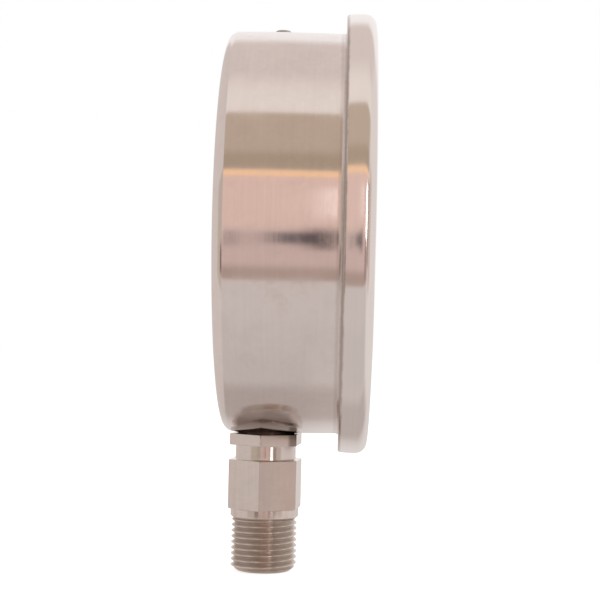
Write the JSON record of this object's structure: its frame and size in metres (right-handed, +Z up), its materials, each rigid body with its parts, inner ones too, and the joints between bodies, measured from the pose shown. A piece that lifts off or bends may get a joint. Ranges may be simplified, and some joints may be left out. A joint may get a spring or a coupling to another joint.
{
  "type": "pressure gauge",
  "caption": "Round dial pressure gauge with a crimped bezel ring and a bottom pipe-thread stem; a Bourdon tube drives the pointer through a link, sector and pinion.",
  "frame": {"origin": "centre of the flat back face of the case, on the dial axis", "axes": "+Y out of the case back (the dial faces -Y), +Z up, stem points down, +X to the right of someone reading the dial"},
  "size_m": [0.1384, 0.0452, 0.1764],
  "materials": {
    "case_steel": "bright, brushed round the wall",
    "ring_steel": "polished",
    "stem_steel": "turned and milled",
    "weld": "as welded, dull",
    "fastener_steel": "turned",
    "movement_brass": "satin",
    "tube_bronze": "drawn",
    "window": "clear flat safety glass",
    "seal_rubber": "matt",
    "plug_rubber": "matt",
    "dial_white": "matt white, black print",
    "pointer_black": "matt black"
  },
  "bodies": {
    "gauge_body": {"case": "case_steel", "bezel_ring": "ring_steel", "window_glass": "window", "window_gasket": "seal_rubber", "stem": "stem_steel", "stem_weld_ring": "weld", "restrictor_screw": "movement_brass", "bourdon_tube": "tube_bronze", "movement_back_plate": "movement_brass", "movement_front_plate": "movement_brass", "movement_pillar_1": "movement_brass", "movement_pillar_2": "movement_brass", "movement_pillar_3": "movement_brass", "plate_screw_1": "fastener_steel", "plate_screw_2": "fastener_steel", "plate_screw_3": "fastener_steel", "movement_mount_screw_1": "fastener_steel", "movement_mount_screw_2": "fastener_steel", "hairspring": "tube_bronze", "hairspring_stud": "movement_brass", "dial": "dial_white", "dial_post_left": "movement_brass", "dial_post_right": "movement_brass", "dial_screw_left": "fastener_steel", "dial_screw_right": "fastener_steel", "zero_stop_pin": "fastener_steel"},
    "pointer_shaft": {"pinion_arbor": "fastener_steel", "hairspring_collet": "movement_brass", "pointer": "pointer_black", "pointer_hub": "movement_brass"},
    "sector": {"sector_gear": "movement_brass", "sector_arbor": "fastener_steel", "link_pin_sector": "fastener_steel"},
    "pull_link": {"link": "fastener_steel"},
    "tube_tip": {"tube_end_piece": "movement_brass", "link_pin_tip": "fastener_steel"},
    "vent_plug": {"fill_plug": "plug_rubber"}
  },
  "joints": [
    {"name": "sector_swing", "type": "hinge", "parent": "gauge_body", "child": "sector", "pos_m": [0.01205, -0.0232, -0.0172], "axis": [0, -1, 0], "range_deg": [0, 30]},
    {"name": "pointer_turn", "type": "hinge", "parent": "gauge_body", "child": "pointer_shaft", "pos_m": [0, -0.03, 0], "axis": [0, 1, 0], "range_deg": [0, 270], "deforming": ["hairspring"]},
    {"name": "tube_tip_lift", "type": "hinge", "parent": "gauge_body", "child": "tube_tip", "pos_m": [-0.00825, -0.0127, 0.01075], "axis": [0, -1, 0], "range_deg": [0, 5.03], "deforming": ["bourdon_tube"]},
    {"name": "link_swing", "type": "hinge", "parent": "sector", "child": "pull_link", "pos_m": [0.01467, -0.0245, -0.02369], "axis": [0, 1, 0], "range_deg": [0, 24.7]},
    {"name": "fill_plug_pull", "type": "slide", "parent": "gauge_body", "child": "vent_plug", "axis": [0, 0, 1], "range_m": [0, 0.008]}
  ],
  "couplings": [
    {"joint": "pointer_turn", "follows": "sector_swing", "ratio": 9},
    {"joint": "tube_tip_lift", "follows": "sector_swing", "ratio": 0.1673},
    {"joint": "link_swing", "follows": "sector_swing", "ratio": 0.8229}
  ]
}
